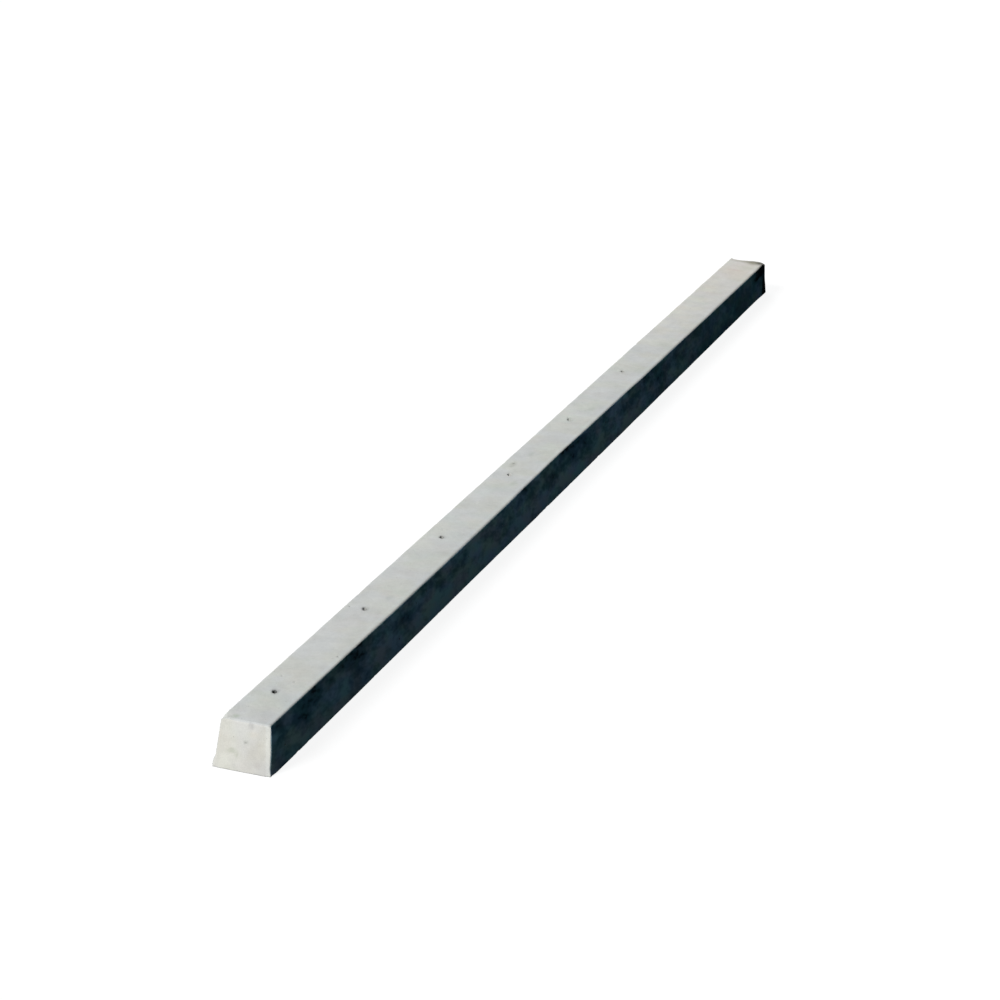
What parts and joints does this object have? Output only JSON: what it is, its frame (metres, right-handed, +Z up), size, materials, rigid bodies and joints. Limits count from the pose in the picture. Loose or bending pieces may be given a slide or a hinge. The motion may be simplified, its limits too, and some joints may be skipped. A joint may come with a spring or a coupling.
{
  "type": "concrete trellis post",
  "caption": "Slender precast concrete post of trapezoid section, with a row of through holes for trellis wires and a plain foot for burying.",
  "frame": {"origin": "middle of the underside, the wide face that the post lies on", "axes": "+Y along the post from its head to its foot, +X to the right seen from the head, +Z up through the narrow face"},
  "size_m": [0.077, 2.5, 0.064],
  "materials": {
    "cast_concrete": "matt cast concrete, pale grey, with pores and worn arrises"
  },
  "bodies": {
    "root": {"concrete_post": "cast_concrete"}
  },
  "joints": []
}
